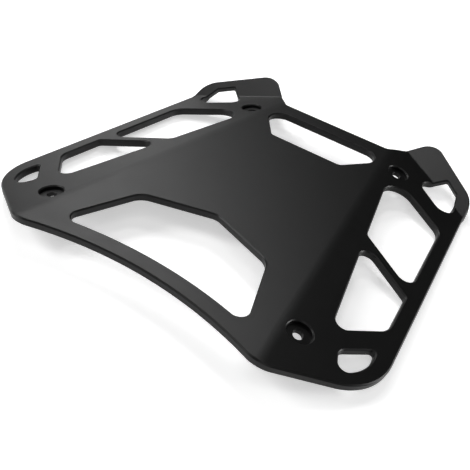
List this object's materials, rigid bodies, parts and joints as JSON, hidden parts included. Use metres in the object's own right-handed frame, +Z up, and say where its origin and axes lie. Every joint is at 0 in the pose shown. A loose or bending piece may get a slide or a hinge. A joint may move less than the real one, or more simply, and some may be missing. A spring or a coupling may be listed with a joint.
{
  "type": "luggage rack",
  "caption": "Bent plate luggage rack for a motorcycle with a flat deck, side wings turned down, two far ears turned up, cut windows and sunk screw holes.",
  "frame": {"origin": "middle of the deck's upper face, on the plate's mirror plane", "axes": "+X across the rack to its right side, +Y along the rack towards the raised ears, +Z up, square to the deck"},
  "size_m": [0.3054, 0.3088, 0.028],
  "materials": {
    "plate": "black satin powder coat on aluminium"
  },
  "bodies": {
    "root": {"rack_plate": "plate"}
  },
  "joints": []
}
